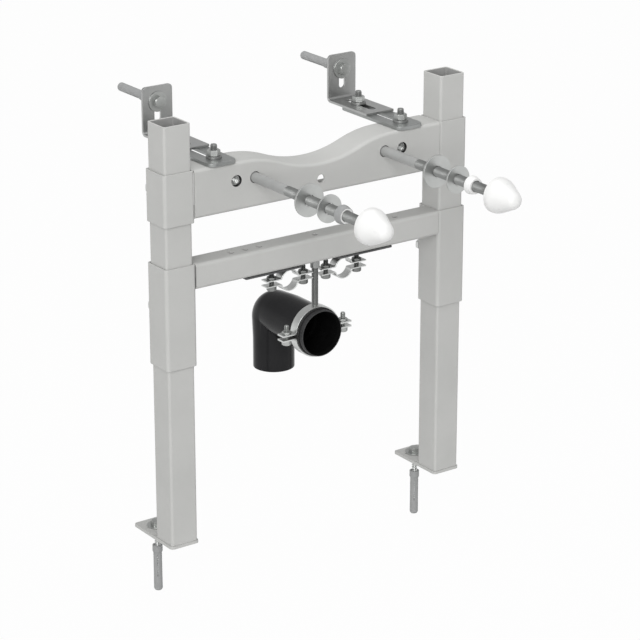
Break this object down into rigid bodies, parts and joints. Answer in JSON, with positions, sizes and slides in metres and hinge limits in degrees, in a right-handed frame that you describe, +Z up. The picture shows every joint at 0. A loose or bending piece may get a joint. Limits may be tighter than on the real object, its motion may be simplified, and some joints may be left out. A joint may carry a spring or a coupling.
{
  "type": "bidet installation frame",
  "caption": "Free-standing steel frame that carries a wall-hung bidet: square legs on foot plates, sliding beam and bar with fixing rods, wall brackets, pipe clamps and a waste elbow.",
  "frame": {"origin": "on the underside of the left foot plate, below the middle of the left leg", "axes": "+X along the beam from the left leg to the right leg, +Y back towards the wall, +Z up"},
  "size_m": [0.42, 0.47, 0.589],
  "materials": {
    "grey powder coat": "satin powder coat",
    "zinc-plated steel": "zinc plated",
    "dark coated steel": "matt",
    "grey nylon": "moulded",
    "white plastic": "gloss",
    "black plastic": "satin moulded",
    "black rubber": "matt"
  },
  "bodies": {
    "legs": {"left_leg": "grey powder coat", "right_leg": "grey powder coat", "left_foot_plate": "grey powder coat", "right_foot_plate": "grey powder coat", "left_floor_plug": "grey nylon", "right_floor_plug": "grey nylon", "floor_screws": "zinc-plated steel"},
    "beam": {"upper_left_sleeve": "grey powder coat", "upper_right_sleeve": "grey powder coat", "upper_lock_bolts": "zinc-plated steel", "top_beam": "grey powder coat", "threaded_inserts": "zinc-plated steel", "left_fixing_rod": "zinc-plated steel", "right_fixing_rod": "zinc-plated steel", "left_rod_washers": "zinc-plated steel", "right_rod_washers": "zinc-plated steel", "left_rod_bush": "white plastic", "right_rod_bush": "white plastic", "left_rod_cap": "white plastic", "right_rod_cap": "white plastic", "left_bracket_strip": "zinc-plated steel", "right_bracket_strip": "zinc-plated steel", "left_wall_angle": "zinc-plated steel", "right_wall_angle": "zinc-plated steel", "left_wall_plug": "grey nylon", "right_wall_plug": "grey nylon", "wall_screws": "zinc-plated steel", "bracket_bolts": "zinc-plated steel"},
    "bar": {"lower_left_sleeve": "grey powder coat", "lower_right_sleeve": "grey powder coat", "lower_lock_bolts": "zinc-plated steel", "lower_bar": "grey powder coat", "left_clamp_plate": "dark coated steel", "right_clamp_plate": "dark coated steel", "left_water_clamp_upper": "zinc-plated steel", "right_water_clamp_upper": "zinc-plated steel", "left_water_clamp_lower": "zinc-plated steel", "right_water_clamp_lower": "zinc-plated steel", "water_clamp_screws": "zinc-plated steel", "waste_clamp_upper": "zinc-plated steel", "waste_clamp_lower": "zinc-plated steel", "waste_clamp_lining": "black rubber", "waste_clamp_screws": "zinc-plated steel", "hanger_rod": "zinc-plated steel", "waste_elbow": "black plastic"}
  },
  "joints": [
    {"name": "beam_slide", "type": "slide", "parent": "legs", "child": "beam", "axis": [0, 0, 1], "range_m": [-0.02, 0.045]},
    {"name": "bar_slide", "type": "slide", "parent": "legs", "child": "bar", "axis": [0, 0, 1], "range_m": [-0.14, 0.02]}
  ]
}
